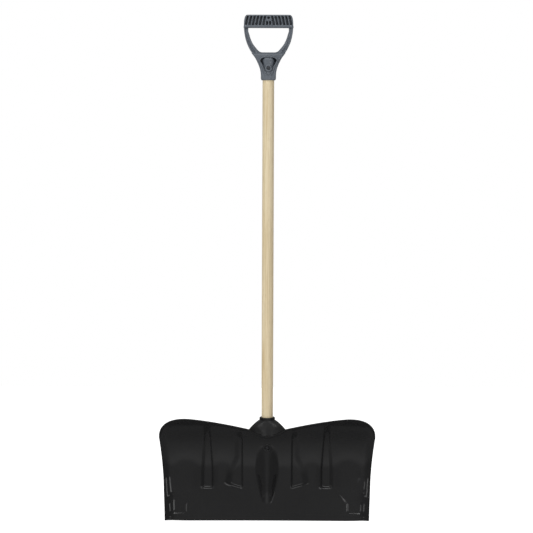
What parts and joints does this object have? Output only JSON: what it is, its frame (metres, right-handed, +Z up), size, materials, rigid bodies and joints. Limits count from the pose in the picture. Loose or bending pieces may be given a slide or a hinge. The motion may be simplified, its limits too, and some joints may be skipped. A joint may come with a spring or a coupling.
{
  "type": "snow shovel",
  "caption": "Snow shovel with a wide curved plastic scoop, a straight wooden shaft and a plastic D-grip, for pushing and lifting snow.",
  "frame": {"origin": "middle of the scraping edge, on its flat lower face", "axes": "+Z up along the shaft to the grip, +X to the right seen from the scoop's open side, +Y away from the open side towards the back of the blade"},
  "size_m": [0.56, 0.1165, 1.3135],
  "materials": {
    "blade_plastic": "smooth glossy moulding",
    "ash_wood": "sanded, thin clear lacquer",
    "grip_plastic": "satin moulding",
    "black_steel": "black oxide",
    "zinc_steel": "zinc plated",
    "dark_steel": "dark phosphate"
  },
  "bodies": {
    "root": {"blade": "blade_plastic", "shaft": "ash_wood", "d_grip": "grip_plastic", "blade_bolt": "black_steel", "blade_washer": "zinc_steel", "blade_nut": "zinc_steel", "grip_screw": "dark_steel"}
  },
  "joints": []
}
